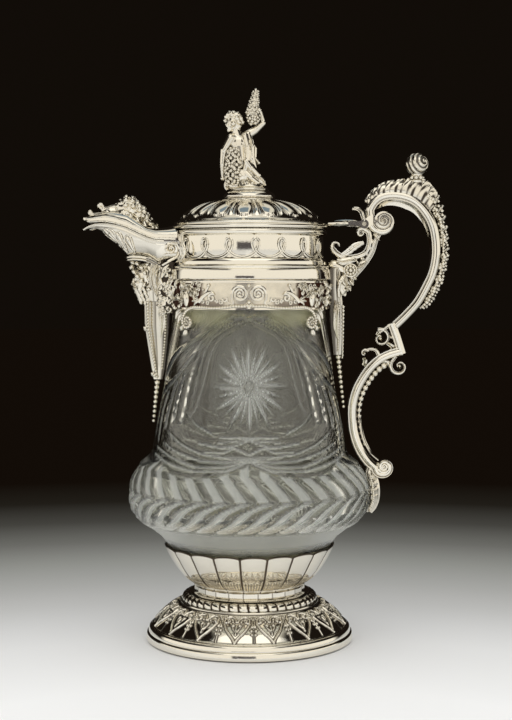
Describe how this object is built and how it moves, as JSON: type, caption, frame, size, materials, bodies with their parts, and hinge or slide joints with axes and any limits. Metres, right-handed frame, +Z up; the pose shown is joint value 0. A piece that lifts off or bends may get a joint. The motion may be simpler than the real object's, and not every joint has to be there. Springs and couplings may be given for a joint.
{
  "type": "claret jug",
  "caption": "Silver-mounted claret jug with a cut-glass body, chased beak spout, scroll handle, domed foot and a hinged lid with a figure finial.",
  "frame": {"origin": "middle of the foot on the table", "axes": "+Z up along the jug's axis, +X towards the handle, -X towards the spout, -Y towards the pictured side"},
  "size_m": [0.2133, 0.141, 0.3193],
  "materials": {
    "silver": "polished",
    "silver_chased": "chased, darkened in the hollows",
    "glass": "clear, cut and engraved",
    "plaster": "matte",
    "nickel_silver": "turned"
  },
  "bodies": {
    "jug": {"foot": "silver", "foot_hearts": "silver_chased", "foot_ring": "silver_chased", "knop": "silver", "cup": "silver", "cup_bed": "plaster", "glass": "glass", "neck_bed": "plaster", "collar": "silver", "collar_loops": "silver_chased", "skirt_scrolls": "silver_chased", "skirt_border": "silver_chased", "spout": "silver", "spout_mask": "silver_chased", "spout_pendant": "silver_chased", "bracket_scroll": "silver_chased", "bracket_leaf": "silver_chased", "bracket_mask": "silver_chased", "handle": "silver", "handle_crest": "silver_chased", "handle_ball": "silver_chased", "handle_scrolls": "silver", "handle_beads": "silver_chased", "leaf_pad": "silver_chased", "hinge_lug": "silver", "hinge_pin": "nickel_silver"},
    "lid": {"lid_rim": "silver", "lid_dome": "silver", "lid_bezel": "silver", "spout_cover": "silver", "cover_mask": "silver_chased", "plinth": "silver", "figure": "silver_chased", "figure_grapes": "silver_chased", "figure_horn": "silver_chased", "figure_stud": "nickel_silver", "figure_nut": "nickel_silver", "lid_strap": "silver_chased", "thumbpiece": "silver_chased"}
  },
  "joints": [
    {"name": "lid_hinge", "type": "hinge", "parent": "jug", "child": "lid", "pos_m": [0.0658, 0, 0.241], "axis": [0, 1, 0], "range_deg": [0, 75]}
  ]
}
